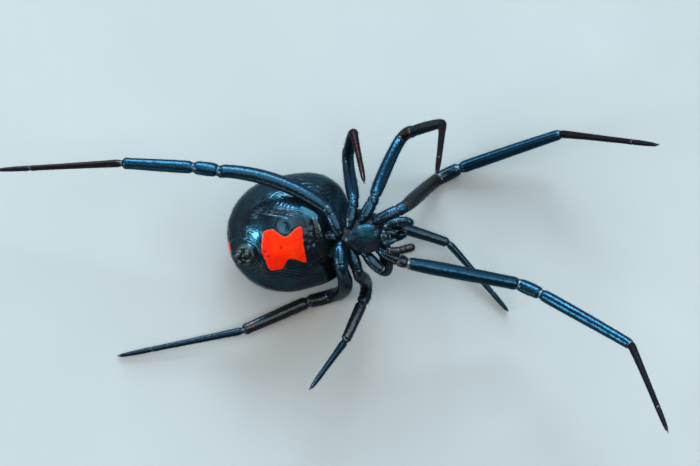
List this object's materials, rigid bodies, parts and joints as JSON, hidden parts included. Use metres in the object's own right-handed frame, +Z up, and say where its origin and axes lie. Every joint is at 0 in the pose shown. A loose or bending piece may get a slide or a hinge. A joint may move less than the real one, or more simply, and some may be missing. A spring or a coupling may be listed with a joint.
{
  "type": "black widow spider",
  "caption": "Adult female widow spider with globose abdomen and red hourglass, lying belly up with its legs spread, life size.",
  "frame": {"origin": "on the small flat on the back of the abdomen, on which the animal lies", "axes": "+X towards the head and along the spread of the legs, +Y to the animal's right side, +Z up, out of the belly"},
  "size_m": [0.04, 0.0184, 0.0154],
  "materials": {
    "abdomen_cuticle": "glossy black, finely wrinkled, sparse short hairs",
    "body_cuticle": "glossy blue-black, finely grained",
    "leg_cuticle": "glossy blue-black, finely haired",
    "foot_cuticle": "satin dark red-brown, finely haired",
    "spinneret_cuticle": "satin dark brown with pale tips",
    "red_mark": "bright orange-red, satin"
  },
  "bodies": {
    "root": {"abdomen": "abdomen_cuticle", "hourglass_mark": "red_mark", "spinnerets": "spinneret_cuticle", "pedicel": "body_cuticle", "sternum": "body_cuticle", "carapace": "body_cuticle", "mouthparts": "body_cuticle", "chelicera_r": "body_cuticle", "chelicera_l": "body_cuticle", "palp_r": "leg_cuticle", "palp_l": "leg_cuticle", "leg_r1_coxa": "leg_cuticle", "leg_r1_femur": "leg_cuticle", "leg_r1_patella": "leg_cuticle", "leg_r1_tibia": "leg_cuticle", "leg_r1_foot": "foot_cuticle", "leg_r2_coxa": "leg_cuticle", "leg_r2_femur": "leg_cuticle", "leg_r2_patella": "leg_cuticle", "leg_r2_tibia": "leg_cuticle", "leg_r2_foot": "foot_cuticle", "leg_r3_coxa": "leg_cuticle", "leg_r3_femur": "leg_cuticle", "leg_r3_patella": "leg_cuticle", "leg_r3_tibia": "leg_cuticle", "leg_r3_foot": "foot_cuticle", "leg_r4_coxa": "leg_cuticle", "leg_r4_femur": "leg_cuticle", "leg_r4_patella": "leg_cuticle", "leg_r4_tibia": "leg_cuticle", "leg_r4_foot": "foot_cuticle", "leg_l1_coxa": "leg_cuticle", "leg_l1_femur": "leg_cuticle", "leg_l1_patella": "leg_cuticle", "leg_l1_tibia": "leg_cuticle", "leg_l1_foot": "foot_cuticle", "leg_l2_coxa": "leg_cuticle", "leg_l2_femur": "leg_cuticle", "leg_l2_patella": "leg_cuticle", "leg_l2_tibia": "leg_cuticle", "leg_l2_foot": "foot_cuticle", "leg_l3_coxa": "leg_cuticle", "leg_l3_femur": "leg_cuticle", "leg_l3_patella": "leg_cuticle", "leg_l3_tibia": "leg_cuticle", "leg_l3_foot": "foot_cuticle", "leg_l4_coxa": "leg_cuticle", "leg_l4_femur": "leg_cuticle", "leg_l4_patella": "leg_cuticle", "leg_l4_tibia": "leg_cuticle", "leg_l4_foot": "foot_cuticle"}
  },
  "joints": []
}
